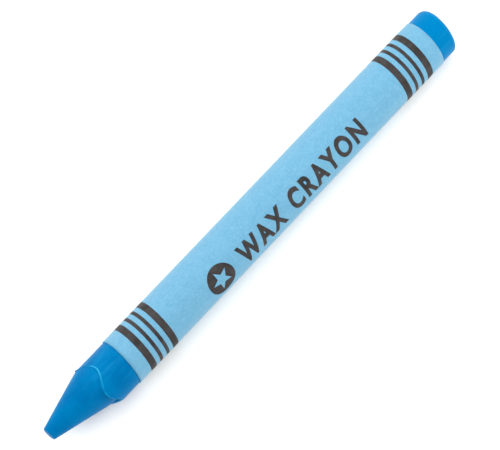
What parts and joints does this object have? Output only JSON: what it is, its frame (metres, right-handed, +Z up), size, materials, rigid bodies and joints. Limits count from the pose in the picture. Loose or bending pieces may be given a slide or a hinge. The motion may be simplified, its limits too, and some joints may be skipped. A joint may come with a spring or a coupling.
{
  "type": "wax crayon",
  "caption": "Round wax crayon with a blunt tapering nose behind a wavy shoulder, in a glued blue paper label printed with dark bands and plain lettering.",
  "frame": {"origin": "on the surface it lies on, under the middle of its length", "axes": "+X along the stick towards the butt, so the nose points along -X; +Z up; -Y towards the printed side"},
  "size_m": [0.088, 0.0082, 0.0082],
  "materials": {
    "wax": "smooth moulded wax, slightly greasy sheen",
    "glue": "dry paste",
    "paper": "matte uncoated paper",
    "ink": "matte print soaked into the paper"
  },
  "bodies": {
    "root": {"wax_stick": "wax", "label_glue": "glue", "paper_label": "paper", "tip_band_1": "ink", "tip_band_2": "ink", "tip_band_3": "ink", "tip_band_4": "ink", "butt_band_1": "ink", "butt_band_2": "ink", "butt_band_3": "ink", "butt_band_4": "ink", "printed_badge": "ink", "printed_words": "ink"}
  },
  "joints": []
}
